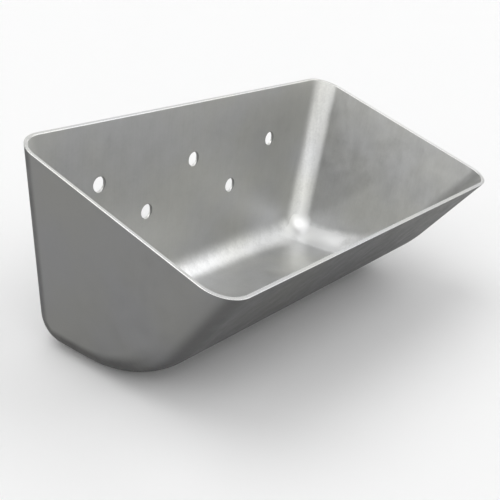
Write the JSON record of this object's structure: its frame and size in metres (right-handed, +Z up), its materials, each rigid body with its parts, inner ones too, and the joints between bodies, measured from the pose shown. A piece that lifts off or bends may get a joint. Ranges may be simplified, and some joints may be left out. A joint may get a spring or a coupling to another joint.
{
  "type": "conveyor elevator bucket",
  "caption": "Deep-drawn stainless elevator bucket with drafted walls, rounded floor, a rim trimmed in one slanting plane, and staggered belt bolt holes through its flat back.",
  "frame": {"origin": "middle of the upper row of bolt holes, on the belt face (the outside of the flat back wall)", "axes": "+X across the belt along the bucket's width, +Y out of the belt face towards the belt, -Y towards the lip, +Z up along the belt"},
  "size_m": [0.2798, 0.1413, 0.117],
  "materials": {
    "stainless_sheet": "satin drawn stainless steel, fine grain, rim edge bright from trimming"
  },
  "bodies": {
    "root": {"bucket": "stainless_sheet"}
  },
  "joints": []
}
